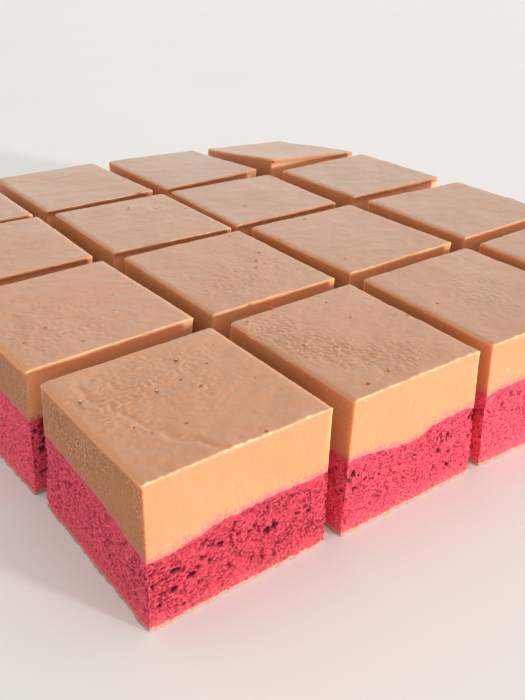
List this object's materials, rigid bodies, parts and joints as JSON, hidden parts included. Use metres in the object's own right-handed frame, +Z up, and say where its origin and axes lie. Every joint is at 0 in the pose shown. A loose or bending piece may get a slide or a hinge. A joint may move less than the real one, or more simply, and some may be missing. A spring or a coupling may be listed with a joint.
{
  "type": "opera cake",
  "caption": "Square raspberry and chocolate layer cake, cut into small squares that still stand together, for serving or display.",
  "frame": {"origin": "centre of the slab's foot, on the surface that it rests on", "axes": "+Z up; -Y out of the right front side and -X out of the left front side, as the slab is seen from its near corner"},
  "size_m": [0.2066, 0.2104, 0.0402],
  "materials": {
    "sponge": "matte open crumb",
    "mousse": "satin"
  },
  "bodies": {
    "root": {"sponge_1_1": "sponge", "sponge_1_2": "sponge", "sponge_1_3": "sponge", "sponge_1_4": "sponge", "sponge_2_1": "sponge", "sponge_2_2": "sponge", "sponge_2_3": "sponge", "sponge_2_4": "sponge", "sponge_3_1": "sponge", "sponge_3_2": "sponge", "sponge_3_3": "sponge", "sponge_3_4": "sponge", "sponge_4_1": "sponge", "sponge_4_2": "sponge", "sponge_4_3": "sponge", "sponge_4_4": "sponge", "mousse_1_1": "mousse", "mousse_1_2": "mousse", "mousse_1_3": "mousse", "mousse_1_4": "mousse", "mousse_2_1": "mousse", "mousse_2_2": "mousse", "mousse_2_3": "mousse", "mousse_2_4": "mousse", "mousse_3_1": "mousse", "mousse_3_2": "mousse", "mousse_3_3": "mousse", "mousse_3_4": "mousse", "mousse_4_1": "mousse", "mousse_4_2": "mousse", "mousse_4_3": "mousse", "mousse_4_4": "mousse"}
  },
  "joints": []
}
